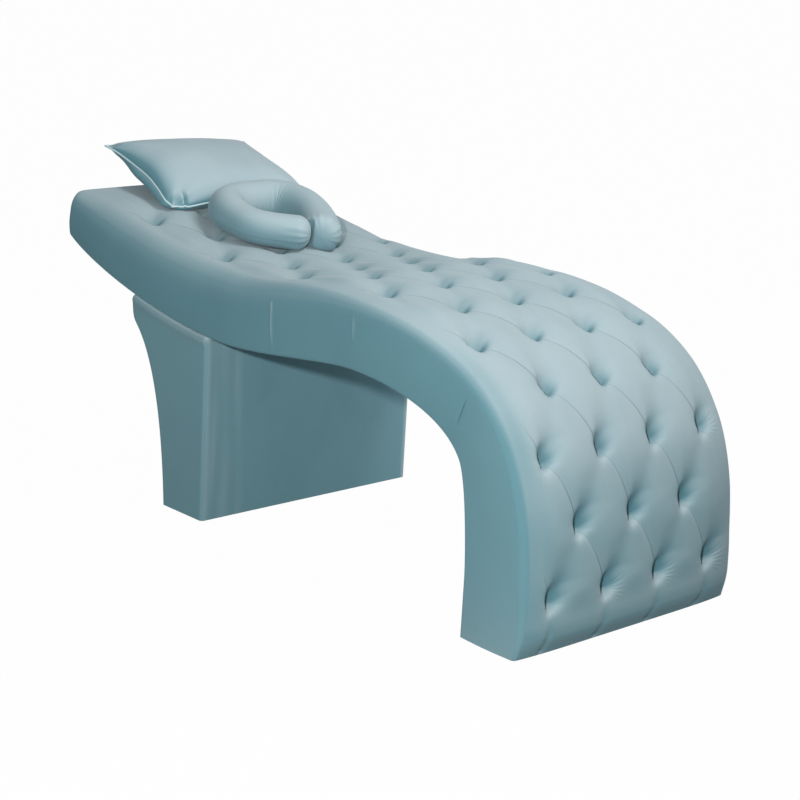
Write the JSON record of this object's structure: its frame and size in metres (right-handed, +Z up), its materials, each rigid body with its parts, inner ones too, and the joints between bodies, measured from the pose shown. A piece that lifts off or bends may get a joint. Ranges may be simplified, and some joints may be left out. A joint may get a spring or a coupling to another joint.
{
  "type": "facial bed",
  "caption": "S-shaped upholstered treatment couch with a deep-tufted velvet top, a waterfall foot and a box pedestal, with a loose piped pillow and a horseshoe neck pillow.",
  "frame": {"origin": "on the floor, under the middle of the whole part's box", "axes": "+X from the head end to the foot end, +Z up, +Y across the bed to the left of a person lying face up with their head at the head end"},
  "size_m": [1.8406, 0.72, 0.8944],
  "materials": {
    "velvet": "short-pile velvet, dusty teal",
    "piping": "piping cord covered in paler velvet",
    "foam": "upholstery foam",
    "wadding": "polyester wadding",
    "plywood": "sanded plywood",
    "pine": "planed pine",
    "hardboard": "bare hardboard",
    "zinc_steel": "zinc plated",
    "nylon": "moulded nylon, black"
  },
  "bodies": {
    "bed": {"tufted_top": "velvet", "side_cover_left": "velvet", "side_cover_right": "velvet", "head_cover": "velvet", "under_cover": "velvet", "base_foam": "foam", "deck_panel": "plywood", "side_panel_left": "plywood", "side_panel_right": "plywood", "leg_panel_left": "plywood", "leg_panel_right": "plywood", "centre_rib": "plywood", "head_panel": "plywood", "foot_sole": "plywood", "soffit_panel": "hardboard", "batten_1": "pine", "batten_2": "pine", "batten_3": "pine", "batten_4": "pine", "batten_5": "pine", "batten_6": "pine", "batten_7": "pine", "bolt_cleat_rear": "pine", "bolt_cleat_front": "pine", "pedestal_side_left": "plywood", "pedestal_side_right": "plywood", "pedestal_front_panel": "plywood", "pedestal_rear_panel": "plywood", "pedestal_top_plate": "plywood", "pedestal_base_plate": "plywood", "pedestal_cover": "velvet", "pedestal_bolt_1": "zinc_steel", "pedestal_bolt_2": "zinc_steel", "pedestal_bolt_3": "zinc_steel", "pedestal_bolt_4": "zinc_steel", "pedestal_glide_1": "nylon", "pedestal_glide_2": "nylon", "pedestal_glide_3": "nylon", "pedestal_glide_4": "nylon", "foot_glide_1": "nylon", "foot_glide_2": "nylon", "foot_glide_3": "nylon"},
    "pillow": {"pillow_upper_panel": "velvet", "pillow_lower_panel": "velvet", "pillow_piping": "piping", "pillow_filling": "wadding"},
    "neck_pillow": {"neck_pillow_upper_panel": "velvet", "neck_pillow_lower_panel": "velvet", "neck_pillow_filling": "wadding"}
  },
  "joints": [
    {"name": "pillow_lift", "type": "slide", "parent": "bed", "child": "pillow", "axis": [0, 0, 1], "range_m": [0, 0.25]},
    {"name": "neck_pillow_lift", "type": "slide", "parent": "bed", "child": "neck_pillow", "axis": [0, 0, 1], "range_m": [0, 0.25]}
  ]
}
